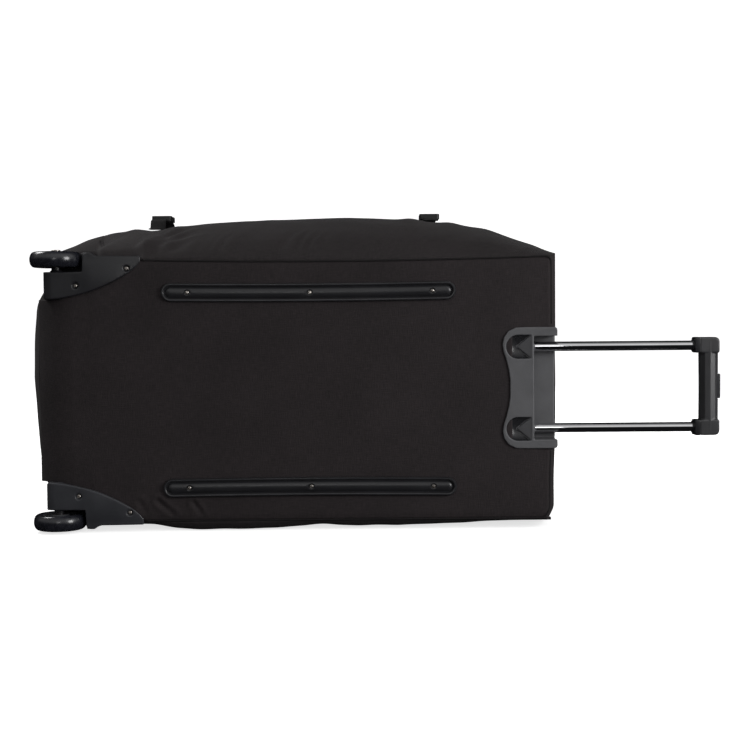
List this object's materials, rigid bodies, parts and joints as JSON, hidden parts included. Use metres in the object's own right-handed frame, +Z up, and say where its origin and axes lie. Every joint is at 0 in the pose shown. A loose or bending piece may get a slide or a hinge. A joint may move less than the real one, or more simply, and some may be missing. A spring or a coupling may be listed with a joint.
{
  "type": "rolling duffel bag",
  "caption": "Soft rolling duffel bag on its long side: wheels in corner housings, skid rails, drawn-out pull handle, U-shaped zip lid.",
  "frame": {"origin": "on the floor under the centre of the object's box", "axes": "+X along the bag towards the pull handle, +Y from the back panel towards the lid, +Z up with the bag lying on its long side"},
  "size_m": [1.0841, 0.3852, 0.501],
  "materials": {
    "pack_cloth": "coarse crosshatch weave",
    "webbing": "ribbed webbing",
    "zip_tape": "coil zip",
    "board": "plain",
    "housing_plastic": "satin moulded",
    "bezel_plastic": "satin moulded",
    "buckle_plastic": "moulded",
    "tyre": "polished rubber",
    "chrome_tube": "polished",
    "tube_metal": "drawn",
    "steel": "plated",
    "slider_metal": "painted"
  },
  "bodies": {
    "bag": {"back_panel": "pack_cloth", "upper_side_panel": "pack_cloth", "lower_side_panel": "pack_cloth", "wheel_end_panel": "pack_cloth", "handle_end_panel": "pack_cloth", "front_frame_panel": "pack_cloth", "back_board": "board", "back_piping": "webbing", "front_piping": "webbing", "zip_half_frame": "zip_tape", "wheel_housing_upper": "housing_plastic", "wheel_housing_lower": "housing_plastic", "wheel_axles": "steel", "axle_nuts": "steel", "axle_spacers": "steel", "skid_rail_upper": "housing_plastic", "skid_rail_lower": "housing_plastic", "rail_screws": "steel", "housing_screws": "steel", "board_nuts": "steel", "handle_bezel": "bezel_plastic", "outer_tubes": "tube_metal", "tube_bushings": "housing_plastic", "tube_foot": "housing_plastic", "strap_left_back": "webbing", "strap_left_front": "webbing", "strap_right_back": "webbing", "strap_right_front": "webbing", "buckle_socket_left": "buckle_plastic", "buckle_socket_right": "buckle_plastic", "side_handle": "webbing"},
    "pull_handle": {"inner_tubes": "chrome_tube", "tube_plugs": "housing_plastic", "tube_collars": "bezel_plastic", "grip_shell_back": "bezel_plastic", "grip_shell_front": "bezel_plastic"},
    "button": {"push_button": "bezel_plastic", "button_crossbar": "bezel_plastic", "push_rods": "steel", "button_springs": "steel"},
    "pin_upper": {"lock_pin_upper": "steel"},
    "pin_lower": {"lock_pin_lower": "steel"},
    "wheel_upper": {"tyre_upper": "tyre", "wheel_hub_upper": "housing_plastic", "wheel_bearings_upper": "steel"},
    "wheel_lower": {"tyre_lower": "tyre", "wheel_hub_lower": "housing_plastic", "wheel_bearings_lower": "steel"},
    "lid": {"lid_panel": "pack_cloth", "zip_half_lid": "zip_tape", "lid_pocket": "pack_cloth", "pocket_zip": "zip_tape"},
    "slider_1": {"main_slider_1": "slider_metal"},
    "pull_1": {"main_pull_1": "slider_metal"},
    "slider_2": {"main_slider_2": "slider_metal"},
    "pull_2": {"main_pull_2": "slider_metal"},
    "pocket_slider": {"pocket_slider": "slider_metal"},
    "pocket_pull": {"pocket_pull": "slider_metal"},
    "clip_left": {"buckle_clip_left": "buckle_plastic"},
    "clip_right": {"buckle_clip_right": "buckle_plastic"}
  },
  "joints": [
    {"name": "handle_slide", "type": "slide", "parent": "bag", "child": "pull_handle", "axis": [1, 0, 0], "range_m": [-0.245, 0]},
    {"name": "button_press", "type": "slide", "parent": "pull_handle", "child": "button", "axis": [-1, 0, 0], "range_m": [0, 0.003], "stiffness_N_per_m": 1200, "springref_m": -0.001},
    {"name": "pin_upper_draw", "type": "slide", "parent": "pull_handle", "child": "pin_upper", "axis": [0, 0, -1], "range_m": [0, 0.0025]},
    {"name": "pin_lower_draw", "type": "slide", "parent": "pull_handle", "child": "pin_lower", "axis": [0, 0, 1], "range_m": [0, 0.0025]},
    {"name": "wheel_upper_spin", "type": "hinge", "parent": "bag", "child": "wheel_upper", "pos_m": [-0.48, -0.1525, 0.42], "axis": [0, 0, 1], "continuous": true},
    {"name": "wheel_lower_spin", "type": "hinge", "parent": "bag", "child": "wheel_lower", "pos_m": [-0.48, -0.1525, 0.016], "axis": [0, 0, 1], "continuous": true},
    {"name": "lid_open", "type": "hinge", "parent": "bag", "child": "lid", "pos_m": [-0.1055, 0.1675, 0.3959], "axis": [1, 0, 0], "range_deg": [0, 110]},
    {"name": "main_slider_1_slide", "type": "slide", "parent": "lid", "child": "slider_1", "axis": [-1, 0, 0], "range_m": [0, 0.25]},
    {"name": "main_slider_2_slide", "type": "slide", "parent": "lid", "child": "slider_2", "axis": [1, 0, 0], "range_m": [0, 0.25]},
    {"name": "main_pull_1_flip", "type": "hinge", "parent": "slider_1", "child": "pull_1", "pos_m": [-0.113, 0.17015, 0.0495], "axis": [1, 0, 0], "range_deg": [0, 150]},
    {"name": "main_pull_2_flip", "type": "hinge", "parent": "slider_2", "child": "pull_2", "pos_m": [-0.098, 0.17015, 0.0495], "axis": [1, 0, 0], "range_deg": [0, 150]},
    {"name": "pocket_slider_slide", "type": "slide", "parent": "lid", "child": "pocket_slider", "axis": [1, 0, 0], "range_m": [0, 0.41]},
    {"name": "pocket_pull_flip", "type": "hinge", "parent": "pocket_slider", "child": "pocket_pull", "pos_m": [-0.311, 0.19105, 0.314], "axis": [1, 0, 0], "range_deg": [0, 150]},
    {"name": "clip_left_pull_out", "type": "slide", "parent": "bag", "child": "clip_left", "axis": [0, 1, 0], "range_m": [0, 0.022]},
    {"name": "clip_right_pull_out", "type": "slide", "parent": "bag", "child": "clip_right", "axis": [0, 1, 0], "range_m": [0, 0.022]}
  ],
  "couplings": [
    {"joint": "pin_upper_draw", "follows": "button_press", "ratio": 0.8},
    {"joint": "pin_lower_draw", "follows": "button_press", "ratio": 0.8}
  ]
}
